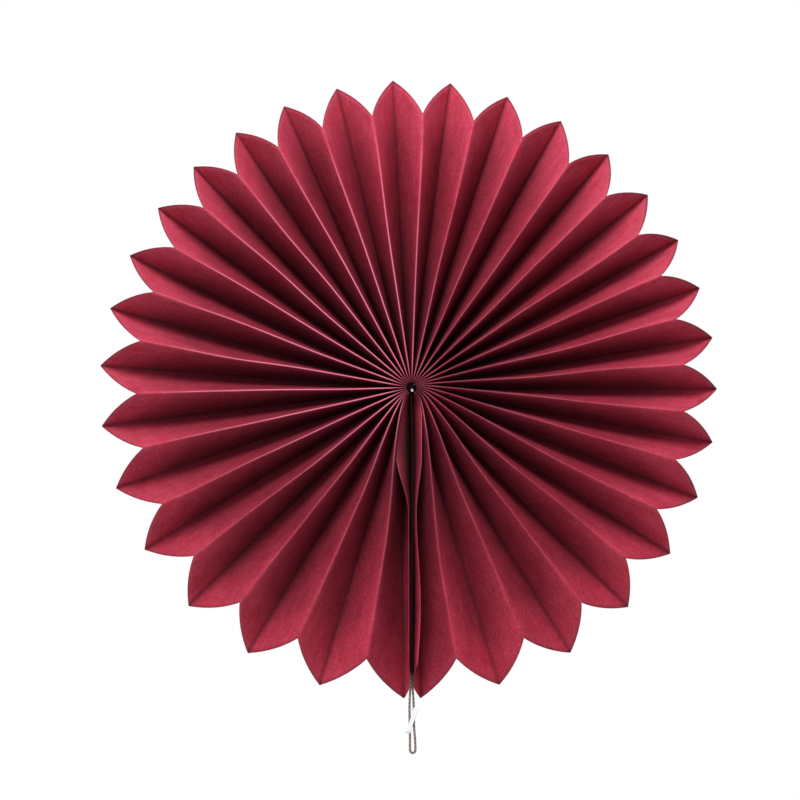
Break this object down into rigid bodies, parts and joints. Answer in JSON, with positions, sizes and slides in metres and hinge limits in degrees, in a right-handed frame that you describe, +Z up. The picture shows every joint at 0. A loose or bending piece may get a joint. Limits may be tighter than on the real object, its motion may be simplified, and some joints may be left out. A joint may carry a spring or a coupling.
{
  "type": "paper fan rosette",
  "caption": "Pleated paper rosette with pointed petals, a taped seam and a doubled hanging cord led out at the rim.",
  "frame": {"origin": "middle of the hub's back, where the rosette lies against the wall", "axes": "+Z up to 12 o'clock with the seam and the cord at 6 o'clock, -Y towards the viewer, +Y into the wall"},
  "size_m": [0.2996, 0.0233, 0.3261],
  "materials": {
    "burgundy_paper": "dyed uncoated paper, matte, with fine fibres",
    "brown_cord": "thin twisted cord, grey brown",
    "white_thread": "white thread",
    "clear_tape": "thin double-sided tape"
  },
  "bodies": {
    "root": {"pleated_sheet": "burgundy_paper", "hub_knot": "brown_cord", "hanging_loop": "brown_cord", "loop_wrap": "white_thread", "inner_tape_pad": "clear_tape", "outer_tape_pad": "clear_tape"}
  },
  "joints": []
}
